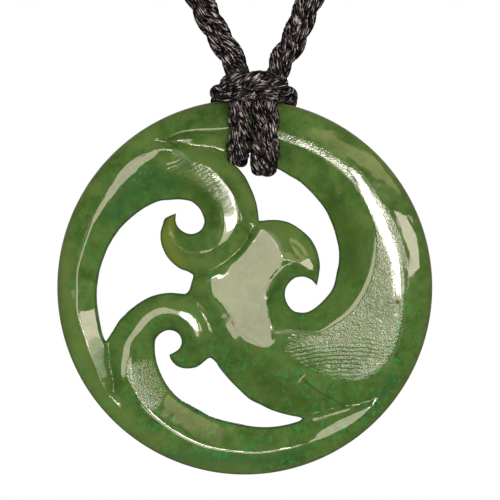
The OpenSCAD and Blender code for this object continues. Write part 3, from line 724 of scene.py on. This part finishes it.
def chain_distance(p, chain):
    """Distance of each place from a line of points, and how far along it, 0 to 1."""
    c = np.array(chain, float)
    best, where = np.full(len(p), 1e9), np.zeros(len(p))
    length = np.concatenate([[0], np.cumsum(np.linalg.norm(np.diff(c[:, :2], axis=0), axis=1))])
    for k in range(len(c) - 1):
        a, b = c[k, :2], c[k + 1, :2]
        t = np.clip(((p - a) @ (b - a))/np.dot(b - a, b - a), 0, 1)
        d = np.linalg.norm(p - (a + t[:, None]*(b - a)), axis=1)
        m = d < best
        best[m] = d[m]
        where[m] = ((length[k] + t*(length[k + 1] - length[k]))/length[-1])[m]
    return best, where


def half_heights(pts, tops):
    x, y = pts[:, 0], pts[:, 1]
    h = np.maximum(tops, 1.0)
    r = np.hypot(x, y)
    # hand polishing leaves the faces a little uneven
    h += 0.010*lumps(x, y, 3, 46) + 0.0035*lumps(x, y, 4, 17)
    m = r > RIM_IN
    h[m] = np.minimum(h[m], rim_cap(r[m]))
    d = nearest(edge_kd, pts)
    k = np.clip(d, 0, ROUND)
    h -= (ROUND - np.sqrt(np.maximum(ROUND**2 - (ROUND - k)**2, 0)))*SQ
    return h


def face(spacing, lines, seed):
    """Places and triangles of one carved face. The outline's points come first."""
    r = np.random.default_rng(seed)
    edge = np.vstack(EDGES + [RIM_LINE])
    cons, at = [], 0
    for e in EDGES + [RIM_LINE]:
        cons += [(at + k, at + (k + 1) % len(e)) for k in range(len(e))]
        at += len(e)
    first = [edge]
    for off in (0.30, 0.85, 1.6, 2.6):
        for e in EDGES:
            t = unit(np.roll(e, -1, 0) - np.roll(e, 1, 0))
            p = e + np.stack([t[:, 1], -t[:, 0]], 1)*off
            first.append(p[nearest(edge_kd, p) > off*0.93])
    for rad in (186.85, 186.3, 185.2, 183.6, 181.6, 179.4):
        n = 792 if rad > 186 else 700
        a = np.linspace(0, 2*math.pi, n, endpoint=False) + rad
        first.append(np.stack([rad*np.cos(a), rad*np.sin(a)], 1))
    ringed = np.vstack(first[1:])
    keep = in_jade(ringed, 0.05)
    fixed = np.vstack([edge, ringed[keep]])
    # along the lines of the carving
    extra = []
    if lines:
        for t, rows in enumerate((ARM_LEFT, ARM_BOTTOM, ARM_RIGHT)):
            q = smooth_rows(rows, 16)
            o, i = q[:, OX:OY + 1], q[:, IX:IY + 1]
            w = np.linalg.norm(i - o, axis=1)
            for col in (F1, F2, F3):
                for side in (-0.75, 0.0, 0.75):
                    p = o + (i - o)*(q[:, col] + side/w)[:, None]
                    p = spaced(p, 1.5)
                    ok = in_jade(p, 7.0)
                    p = p[ok]
                    lay = layers(p[:, 0], p[:, 1])
                    p = p[np.argmax(lay, 0) == t + 1]
                    p = p[nearest(edge_kd, p) > 2.4]
                    extra.append(p)
        for _, _, o in FACETS:
            o = on_chart(o)
            extra.insert(0, spaced(np.vstack([o, o[:1]]), 1.4))
        for _, _, half, o in RIDGES:
            o = smooth_rows(on_chart(o), 4)
            t = unit(np.gradient(o, axis=0))
            for side in (-half, 0.0, half):
                extra.insert(0, spaced(o + np.stack([t[:, 1], -t[:, 0]], 1)*side, 1.3))
        extra = np.vstack(extra)
        extra = extra[in_jade(extra, 7.0)]
        extra = extra[nearest(edge_kd, extra) > 2.4]
        kept, kd_pts = [], {}
        for x, y in extra.tolist():
            key = (int(x // 0.7), int(y // 0.7))
            if any((key[0] + a, key[1] + b) in kd_pts and (kd_pts[(key[0] + a, key[1] + b)][0] - x)**2
                   + (kd_pts[(key[0] + a, key[1] + b)][1] - y)**2 < 0.36 for a in (-1, 0, 1) for b in (-1, 0, 1)):
                continue
            kd_pts[key] = (x, y)
            kept.append((x, y))
        extra = np.array(kept)
        fixed = np.vstack([fixed, extra])
    # an even grid over the rest
    n = int(190/spacing) + 1
    gx, gy = np.meshgrid(np.arange(-n, n + 1)*spacing, np.arange(-n*1.16, n*1.16 + 1)*spacing*0.866)
    gx = gx + (np.arange(gx.shape[0])[:, None] % 2)*spacing/2
    g = np.stack([gx.ravel(), gy.ravel()], 1)
    g = g + r.uniform(-0.08, 0.08, g.shape)*spacing
    g = g[np.hypot(g[:, 0], g[:, 1]) < 178.6]
    g = g[in_jade(g)]
    g = g[nearest(tree_of(fixed), g) > 0.72*spacing]
    pts = np.vstack([fixed, g])

    def mesh(p):
        out = delaunay_2d_cdt([Vector(q) for q in p.tolist()], cons, [], 0, 1e-5)
        vs = np.array([tuple(v) for v in out[0]])
        tri = np.array([f for f in out[2] if len(f) == 3])
        # the outline's points first, in their own order
        first = {src: k for k, srcs in enumerate(out[3]) for src in srcs if src < len(edge)}
        order = [first[k] for k in range(len(edge))]
        rest = np.setdiff1d(np.arange(len(vs)), order)
        order = np.concatenate([order, rest]).astype(int)
        new = np.empty(len(vs), int)
        new[order] = np.arange(len(vs))
        vs, tri = vs[order], new[tri]
        c = vs[tri].mean(1)
        ok = np.hypot(c[:, 0], c[:, 1]) < RIM_OUT - 0.01
        bad = np.zeros(len(c), bool)
        for e in EDGES:
            lo, hi = e.min(0), e.max(0)
            m = np.all((c > lo) & (c < hi), 1)
            idx = np.nonzero(m)[0]
            bad[idx] |= inside(c[idx], e)
        return vs, tri[ok & ~bad]

    vs, tri = mesh(pts)
    lay = layers(vs[:, 0], vs[:, 1])
    if lines:
        # the grooves, where one carved surface meets another, get their own points
        top = np.argmax(lay, 0)
        e = np.vstack([tri[:, [0, 1]], tri[:, [1, 2]], tri[:, [2, 0]]])
        e = np.unique(np.sort(e, 1), axis=0)
        e = e[top[e[:, 0]] != top[e[:, 1]]]
        a, b = vs[e[:, 0]].copy(), vs[e[:, 1]].copy()
        ta = top[e[:, 0]]
        for _ in range(7):
            mid = (a + b)/2
            lm = layers(mid[:, 0], mid[:, 1])
            same = np.argmax(lm, 0) == ta
            a[same], b[~same] = mid[same], mid[~same]
        cross = (a + b)/2
        cross = cross[np.hypot(cross[:, 0], cross[:, 1]) < 178]
        cross = cross[nearest(edge_kd, cross) > 0.9]
        kept, cells = [], {}
        for x, y in cross.tolist():
            key = (int(x // 0.8), int(y // 0.8))
            if any((key[0] + i, key[1] + j) in cells and (cells[(key[0] + i, key[1] + j)][0] - x)**2
                   + (cells[(key[0] + i, key[1] + j)][1] - y)**2 < 0.3 for i in (-1, 0, 1) for j in (-1, 0, 1)):
                continue
            cells[key] = (x, y)
            kept.append((x, y))
        cross = np.array(kept)
        m = len(edge)
        rest = vs[m:]
        rest = rest[nearest(tree_of(cross), rest) > 0.62]
        vs, tri = mesh(np.vstack([vs[:m], cross, rest]))
        lay = layers(vs[:, 0], vs[:, 1])
    h = lay.max(0)
    if lines:
        # a small fillet along each groove
        near = nearest(tree_of(cross), vs)
        e = np.vstack([tri[:, [0, 1]], tri[:, [1, 2]], tri[:, [2, 0]]])
        e = np.unique(np.sort(e, 1), axis=0)
        soft = np.clip(1.25 - near/2.2, 0, 0.8)
        for _ in range(3):
            total, count = np.zeros(len(vs)), np.zeros(len(vs))
            np.add.at(total, e[:, 0], h[e[:, 1]])
            np.add.at(total, e[:, 1], h[e[:, 0]])
            np.add.at(count, e.ravel(), 1)
            h = h*(1 - soft) + soft*total/np.maximum(count, 1)
        m, _, _ = dressed(vs)
        m[:len(edge)] = 0
        h = (1 - m)*(h + on_grid(added, vs)) + m*on_grid(carved + added, vs)
    return vs, tri, half_heights(vs, h)


carved, added = dress()
front, front_tri, front_h = face(1.5, True, 5)
back, back_tri, back_h = face(2.3, False, 6)


def patch(p, chain, soft=0.35):
    """1 inside a line of round places (x, y, radius), fading to 0 over the last share of the radius."""
    c = np.array(chain, float)
    d, w = chain_distance(p, c)
    length = np.concatenate([[0], np.cumsum(np.linalg.norm(np.diff(c[:, :2], axis=0), axis=1))])
    rad = np.interp(w, length/length[-1], c[:, 2])
    return np.clip((1 - d/rad)/soft, 0, 1)


# Where the stone was left satin by the grinding tool, on each arm's chart:
# row of its table, from and to (zones from the outer edge), strength.
SATIN = {
  1: [(13.4, .6, 2.0, 0), (14.0, .5, 2.2, .12), (14.6, .6, 2.3, .3), (15.0, .8, 2.4, .7), (15.5, 1.0, 2.7, 1.0), (16.5, 0.98, 2.8, 1.0), (17.5, 0.97, 2.6, .9),
      (19.0, 0.96, 2.2, .7), (20.5, 0.96, 2.1, .55), (21.5, 0.96, 2.1, .2), (22.0, 1.0, 2.0, 0)],
  2: [(10.3, 2.2, 3.97, 0), (10.9, 2.1, 3.97, .8), (12.7, 2.0, 3.97, .8), (13.5, 2.0, 3.9, .2), (14.0, 2.0, 3.0, 0),
      (18.5, 1.0, 2.0, 0), (19.5, 1.0, 2.2, .08), (21.5, 1.0, 2.2, .12), (22.5, 1.0, 2.0, 0)],
  3: [(3.6, .85, 1.0, 0), (4.4, .80, 1.12, .45), (7.0, .80, 1.10, .5), (9.0, .78, 1.05, .55), (10.5, .72, 1.98, .7), (12.0, .70, 1.96, .9),
      (13.0, .80, 1.96, 1), (15.0, .75, 1.96, 1), (16.0, .80, 1.97, 1), (17.0, .98, 1.97, 1), (17.7, 1.1, 1.8, .5), (18.2, 1.2, 1.6, 0)]}
# Polished by wear within it: x, y, radius in squares.
POLISHED = [
  [(-31,111,4), (-24,103,6), (-18,92,7), (-13,79,8), (-13,66,8), (-17,55,7), (-22,44,5)],
  [(104,118,2), (112,109,4), (122,91,6), (133,73,7), (139,57,7), (144,45,7), (150,25,6.5), (152,0,6), (151,-25,4)]]
# Ridges and corners worn dull: x, y, radius.
WORN = [
  [(15,61,3), (22,57,3.2), (28,52,3.2), (34,44,3.2), (37,36,3)],
  [(27,-44.3,2.2), (50,-44,2.2), (70,-45,2.2)],
  [(-70,136,3.5), (-63,131,4), (-57,126,3.5)]]
# Places that are only a little dull.
DULLED = [
  [(-149,-56,9), (-145,-68,9), (-141,-84,8)]]
# Fine dark lines and a dark spot in the stone.
CRACKS = [
  [(55,-88), (65,-98), (75,-105), (90,-113), (100,-120)],
  [(-29,-10), (-24,-16), (-20,-18), (-17,-24), (-13,-28), (-10,-33), (-11,-38), (-8,-43), (-3,-46), (2,-50), (9,-53), (16,-58)],
  [(3.6,49), (4.6,51), (5.4,53)], [(4.6,48.8), (6,51)], [(5.2,49), (6.6,52)], [(4.4,50), (6.4,50.6)], [(4.8,53), (6.4,52.6)]]
# Ground marks that can be seen as single lines: x, y, radius in squares.
RIBBED = [
  [(-72,120,8), (-55,116,14), (-40,106,15), (-26,92,14), (-16,76,8)],
  [(52,-64,8), (76,-74,18), (100,-76,22), (122,-62,16)]]
BLUISH = [
  [(-132,70,16), (-120,90,24), (-100,104,26), (-80,104,20)],
  [(-80,-168,10), (-40,-170,16), (10,-172,16), (50,-168,12)],
  [(120,-130,14), (150,-90,10)]]
YELLOWISH = [[(-70,70,10), (-80,52,12), (-76,36,10), (-66,24,10)]]
DARKER = [
  [(86,80,18), (104,50,24), (106,20,22)],
  [(-76,-120,10), (-50,-136,14), (-20,-148,12)],
  [(0,-70,26), (20,-95,24), (60,-112,18)],
  [(-70,102,10), (-50,100,12), (-30,80,12), (-34,62,8)]]
LIGHTER = [
  [(20,60,12), (45,50,18), (66,30,14)],
  [(-100,-28,14), (-80,-18,12), (-50,-22,14), (-44,-45,12)],
  [(-80,50,14), (-60,24,14), (-30,22,12)],
  [(-56,8,10), (-44,0,12)],
  [(-176,40,10), (-178,0,12), (-168,-50,14), (-150,-95,16), (-110,-140,16), (-60,-168,14), (0,-178,12)],
  [(-20,150,10), (-60,132,8), (-10,112,10), (6,84,8)]]


def zone(p, chains, soft):
    return np.max([patch(p, c, soft) for c in chains], 0)


def step(a, b, x):
    t = np.clip((x - a)/(b - a), 0, 1)
    return t*t*(3 - 2*t)


def marks(p):
    """Values stored on the mesh, by name, for the stone's material."""
    d = nearest(edge_kd, p)
    rim = RIM_OUT - np.hypot(p[:, 0], p[:, 1])
    crack = np.min([chain_distance(p, c)[0] for c in CRACKS], 0)
    x, y = p[:, 0]*SQ, p[:, 1]*SQ
    curl = (p[:, 0] < 20) & (p[:, 1] > 20)
    a = np.where(curl, math.radians(31), math.radians(6))
    bend = np.where(curl, -0.02*(x + 5)**2, 0.02*(x - 10)**2)
    phase = (-np.sin(a)*x + np.cos(a)*y + bend)/0.52
    across = (np.cos(a)*x + np.sin(a)*y)/0.52
    top = np.clip((p[:, 1] + 60)/120, 0, 1)
    flecks = 1 - top + 0.7*patch(p, [(-150,20,30), (-130,90,40), (-60,110,30)], 0.8)
    _, arm, row, z = layers(p[:, 0], p[:, 1], True)
    satin = np.zeros(len(p))
    for k, table in SATIN.items():
        t = np.array(table)
        lo, hi, s = (np.interp(row, t[:, 0], t[:, c]) for c in (1, 2, 3))
        satin = np.where(arm == k, s*step(lo - 0.10, lo + 0.04, z)*(1 - step(hi - 0.03, hi + 0.03, z)), satin)
    satin = satin*(1 - 0.92*zone(p, POLISHED, 0.45))
    return {
        "phase": phase, "across": across, "flecks": flecks, "satin": satin,
        "ribs": zone(p, RIBBED, 0.6),
        "worn": np.maximum(zone(p, WORN, 0.5), 0.4*zone(p, DULLED, 0.6)),
        "bluish": zone(p, BLUISH, 0.9),
        "yellowish": zone(p, YELLOWISH, 0.8),
        "darker": zone(p, DARKER, 0.9),
        "lighter": zone(p, LIGHTER, 0.9),
        # painted shade: a dark line along the openings' rounded edges
        "edge": np.clip(1 - d/2.2, 0, 1),
        "rim": np.clip(1 - rim/7.0, 0, 1),
        # painted highlight: a light line along the rim's edge, on the upper part only, where the lamps would shine on
        # the bevel
        "painted_rim_highlight": np.clip(1 - rim/1.6, 0, 1)*np.clip((p[:, 1] + 60)/80, 0, 1),
        "crack": np.clip(1 - crack/1.6, 0, 1)}


def place(p, h, side):
    """mm in the row frame: side -1 is the face that shows, 1 the back."""
    return np.stack([PEND[0] + p[:, 0]*SQ, PEND[1] + side*h, PEND[2] + p[:, 1]*SQ], 1)


nf = len(front)
pend_verts = np.vstack([place(front, front_h, -1), place(back, back_h, 1)])


def facing(p, tri, up):
    """Triangles turned so that they all wind the same way."""
    a, b, c = p[tri[:, 0]], p[tri[:, 1]], p[tri[:, 2]]
    s = (b[:, 0]-a[:, 0])*(c[:, 1]-a[:, 1]) - (b[:, 1]-a[:, 1])*(c[:, 0]-a[:, 0])
    t = tri.copy()
    flip = (s > 0) != up
    t[flip] = t[flip][:, ::-1]
    return t


pend_faces = facing(front, front_tri, True).tolist() + (facing(back, back_tri, False) + nf).tolist()
at = 0
for e in EDGES + [RIM_LINE]:
    n = len(e)
    outer = e is RIM_LINE
    for k in range(n):
        a, b = at + k, at + (k + 1) % n
        pend_faces.append([a, a + nf, b + nf, b] if not outer else [a, b, b + nf, a + nf][::-1])
    at += n


def greenstone():
    m = Nodes("greenstone")
    mm = m.add("ShaderNodeVectorMath", {"operation": "SCALE"}, i0=m.add("ShaderNodeTexCoord").outputs["Object"])
    mm.inputs["Scale"].default_value = 1000
    vec = mm.outputs[0]
    satin, ribs, phase = m.attr("satin"), m.attr("ribs"), m.attr("phase")

    cloud = m.noise(vec, 0.19, 4.0, 0.6, 0.8)
    small = m.noise(vec, 0.85, 4.0, 0.65, 0.5)
    body = m.ramp(cloud, [(0.32, (0.038, 0.104, 0.015)), (0.50, (0.067, 0.154, 0.027)), (0.68, (0.112, 0.208, 0.046))])
    body = m.mix(m.ramp(small, [(0.42, (0, 0, 0)), (0.78, (0.75, 0.75, 0.75))]), body, (0.138, 0.222, 0.060))
    body = m.mix(m.ramp(m.noise(vec, 1.3, 3.0, 0.6, 0.4), [(0.25, (0.45, 0.45, 0.45)), (0.46, (0, 0, 0))]), body, (0.034, 0.080, 0.006))
    body = m.mix(m.math("MULTIPLY", m.attr("lighter"), 0.60), body, (0.142, 0.218, 0.056))
    body = m.mix(m.math("MULTIPLY", m.attr("darker"), 0.55), body, (0.036, 0.082, 0.007))
    body = m.mix(m.math("MULTIPLY", m.attr("bluish"), 0.55), body, (0.028, 0.115, 0.036))
    body = m.mix(m.math("MULTIPLY", m.attr("yellowish"), 0.60), body, (0.200, 0.250, 0.032))
    # emerald flecks in loose clusters
    grain = m.noise(vec, 1.25, 4.0, 0.75, 0.5)
    where = m.noise(vec, 0.30, 2.0, 0.5)
    heat = m.math("ADD", grain, m.math("ADD", m.math("MULTIPLY", m.attr("flecks"), 0.085), m.math("MULTIPLY", where, 0.26)))
    fleck = m.ramp(heat, [(0.785, (0, 0, 0)), (0.82, (1, 1, 1))])
    body = m.mix(m.math("MULTIPLY", fleck, 0.62), body, (0.036, 0.300, 0.070))
    pale = m.ramp(m.noise(vec, 2.4, 2.0, 0.6), [(0.715, (0, 0, 0)), (0.76, (1, 1, 1))])
    body = m.mix(m.math("MULTIPLY", pale, 0.45), body, (0.25, 0.38, 0.15))
    body = m.mix(m.math("MULTIPLY", m.attr("crack"), 0.75), body, (0.020, 0.050, 0.006))
    # painted shade: the stone made dark teal along the openings' rounded edges, where they turn away from the light
    body = m.mix(m.math("MULTIPLY", m.attr("edge"), 0.60), body, (0.012, 0.040, 0.026))
    body = m.mix(m.math("MULTIPLY", m.attr("rim"), 0.55), body, (0.105, 0.118, 0.040))

    # painted highlight: the rim's very edge made light grey towards the top, standing in for the lamps' shine on its
    # bevel
    body = m.mix(m.math("MULTIPLY", m.attr("painted_rim_highlight"), 0.60), body, (0.34, 0.34, 0.28))

    # polished, with satin where the tool's marks were left
    speck = m.noise(vec, 5.2, 1.0, 0.6)
    rough = m.math("ADD", 0.07, m.math("MULTIPLY", satin, 0.11))
    rough = m.math("ADD", rough, m.math("MULTIPLY", m.attr("worn"), 0.45))
    rough = m.math("ADD", rough, m.math("MULTIPLY", m.math("SUBTRACT", small, 0.5), 0.05))

    wave = m.math("SINE", m.math("ADD", m.math("MULTIPLY", phase, 6.28318), m.math("MULTIPLY", m.noise(vec, 0.9, 2.0, 0.5), 6.0)))
    stretch = m.add("ShaderNodeCombineXYZ", i0=m.math("MULTIPLY", phase, 2.4), i1=m.math("MULTIPLY", m.attr("across"), 0.5), i2=0.0)
    scratch = m.noise(stretch, 1.0, 3.0, 0.65)
    h = m.math("MULTIPLY", m.math("MULTIPLY", wave, ribs), 0.0120)
    h = m.math("ADD", h, m.math("MULTIPLY", m.math("MULTIPLY", scratch, satin), 0.016))
    h = m.math("ADD", h, m.math("MULTIPLY", m.math("MULTIPLY", speck, satin), 0.040))
    h = m.math("ADD", h, m.math("MULTIPLY", m.math("MULTIPLY", m.noise(vec, 1.9, 2.0, 0.6), satin), 0.022))
    h = m.math("ADD", h, m.math("MULTIPLY", m.noise(vec, 1.8, 3.0, 0.6), 0.0012))
    bump = m.add("ShaderNodeBump", Strength=1.0, Distance=MM, Height=h)
    b = m.add("ShaderNodeBsdfPrincipled", Base_Color=body, Roughness=rough, Normal=bump)
    b.inputs["IOR"].default_value = 1.61
    b.inputs["Subsurface Weight"].default_value = 0.35
    b.inputs["Subsurface Radius"].default_value = (0.7, 1.0, 0.45)
    b.inputs["Subsurface Scale"].default_value = 0.0012
    m.add("ShaderNodeOutputMaterial", Surface=b)
    return m.mat


pend_ob = make_object("pendant", pend_verts, pend_faces, greenstone())
chart = np.vstack([front, back])
for name, values in marks(chart).items():
    attribute(pend_ob, name, values)
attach(pend_ob, "root")
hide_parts("pendant")


# ---------------------------------------------------------------- light, floor and surround
def card(name, x0, x1, y0, y1, radiance, tint=(1, 0.93, 0.75), away=1.0):
    """A flat soft light seen from the pendant between these angles, degrees
    right and up of the way to the camera."""
    o = PEND*MM
    ax, ay = math.radians((x0 + x1)/2), math.radians((y0 + y1)/2)
    aim = Vector((math.tan(ax), -1, math.tan(ay))).normalized()
    w = 2*away*math.tan(math.radians((x1 - x0)/2))
    h = 2*away*math.tan(math.radians((y1 - y0)/2))
    d = bpy.data.lights.new(name, "AREA")
    d.shape, d.size, d.size_y = "RECTANGLE", w, h
    d.color = tint
    d.energy = radiance*math.pi*w*h
    ob = bpy.data.objects.new(name, d)
    bpy.context.scene.collection.objects.link(ob)
    ob.location = Vector(o) + aim*away
    ob.rotation_euler = (-aim).to_track_quat("-Z", "Y").to_euler()
    ob.visible_camera = False
    return ob


card("window", -7, 13, -7, 13, 5.5, tint=(1.06, 0.85, 0.74), away=1.00)
card("bulb", 3, 11, 3, 11, 30.0, tint=(1, 0.97, 0.92), away=0.97)
card("side", 18, 31, 3.5, 14, 8.5, tint=(1.04, 0.88, 0.74))
for k in range(3):                                  # soft at one side
    card("upper%d" % k, 9 + 2.2*k, 27 - 0.4*k, 18.2 + 0.3*k, 27 - 0.4*k, 0.75, tint=(1.08, 0.90, 0.48), away=1.01 + 0.01*k)
card("left", -30, -20, 0, 9, 1.5)

world = bpy.data.worlds.new("surround")
bpy.context.scene.world = world
world.use_nodes = True
wt = world.node_tree
wt.nodes.clear()
path = wt.nodes.new("ShaderNodeLightPath")
bg = wt.nodes.new("ShaderNodeBackground")
bg.inputs["Color"].default_value = (1, 1, 1, 1)
lvl = wt.nodes.new("ShaderNodeMath")
lvl.operation = "MULTIPLY_ADD"          # 1 to the camera, 0.5 as light
wt.links.new(path.outputs["Is Camera Ray"], lvl.inputs[0])
lvl.inputs[1].default_value, lvl.inputs[2].default_value = 0.5, 0.5
gl = wt.nodes.new("ShaderNodeMath")
gl.operation = "MULTIPLY_ADD"
wt.links.new(path.outputs["Is Glossy Ray"], gl.inputs[0])
gl.inputs[1].default_value = -0.42
wt.links.new(lvl.outputs[0], gl.inputs[2])
wt.links.new(gl.outputs[0], bg.inputs["Strength"])
wo = wt.nodes.new("ShaderNodeOutputWorld")
wt.links.new(bg.outputs[0], wo.inputs[0])

fm = Nodes("floor")
fb = fm.add("ShaderNodeBsdfPrincipled")
fb.inputs["Base Color"].default_value = (0.82, 0.82, 0.81, 1)
fb.inputs["Roughness"].default_value = 0.8
fm.add("ShaderNodeOutputMaterial", Surface=fb)
a = np.linspace(0, 2*math.pi, 96, endpoint=False)
disc = np.stack([700*np.cos(a), -60 + 700*np.sin(a), np.full(96, -262.0)], 1)
floor = make_object("floor", disc, [list(range(96))], fm.mat, smooth=False)
floor.visible_glossy = False         # the room below is dark

bpy.context.scene.view_settings.view_transform = "Standard"
